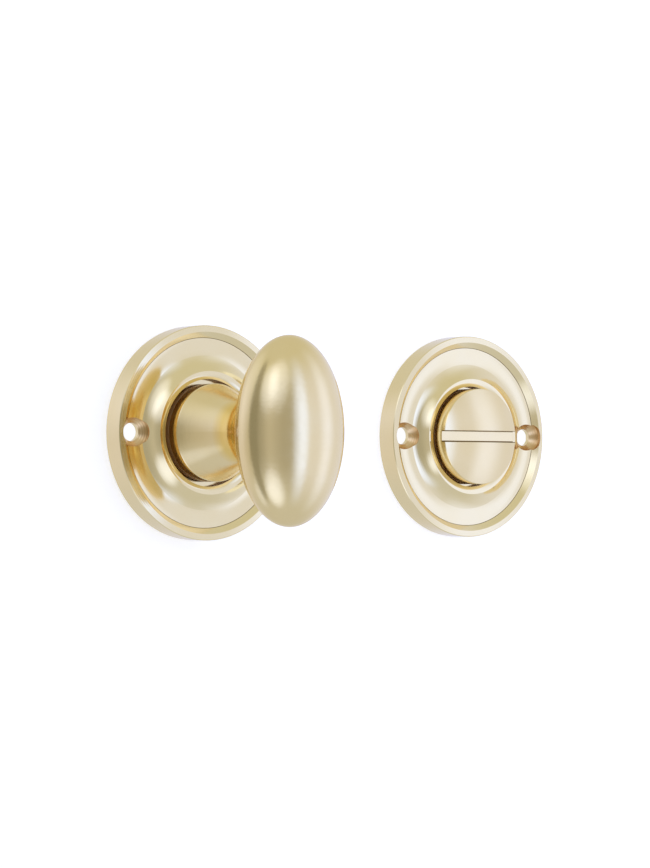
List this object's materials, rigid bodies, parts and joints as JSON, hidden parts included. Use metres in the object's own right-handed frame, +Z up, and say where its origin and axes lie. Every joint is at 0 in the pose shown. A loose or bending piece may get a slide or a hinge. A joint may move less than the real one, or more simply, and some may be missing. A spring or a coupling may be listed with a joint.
{
  "type": "bathroom thumb turn lock",
  "caption": "Bathroom door turn and release set: an oval thumb turn on a round moulded rose, and a coin-slot release disc on a matching rose.",
  "frame": {"origin": "where the thumb turn's axis meets the door face, midway between its two screw holes", "axes": "+Z up; -Y out of the door into the room; +X from the thumb turn half to the release half"},
  "size_m": [0.1315, 0.045, 0.05],
  "materials": {
    "polished_brass": "polished cast brass",
    "satin_brass": "satin-polished brass",
    "acetal": "turned acetal",
    "spring_steel": "phosphated spring steel",
    "zinc_steel": "zinc-plated steel"
  },
  "bodies": {
    "roses": {"turn_rose": "polished_brass", "turn_bush": "acetal", "release_rose": "polished_brass", "release_bush": "acetal"},
    "turn": {"thumb_turn": "satin_brass", "turn_wave_washer": "spring_steel", "turn_backing_washer": "zinc_steel", "turn_retaining_ring": "spring_steel"},
    "release": {"release_disc": "satin_brass", "release_wave_washer": "spring_steel", "release_backing_washer": "zinc_steel", "release_retaining_ring": "spring_steel"}
  },
  "joints": [
    {"name": "thumb_turn_hinge", "type": "hinge", "parent": "roses", "child": "turn", "pos_m": [0, 0, 0], "axis": [0, -1, 0], "range_deg": [-90, 90]},
    {"name": "release_hinge", "type": "hinge", "parent": "roses", "child": "release", "pos_m": [0.0815, 0, 0], "axis": [0, -1, 0], "range_deg": [-90, 90]}
  ]
}
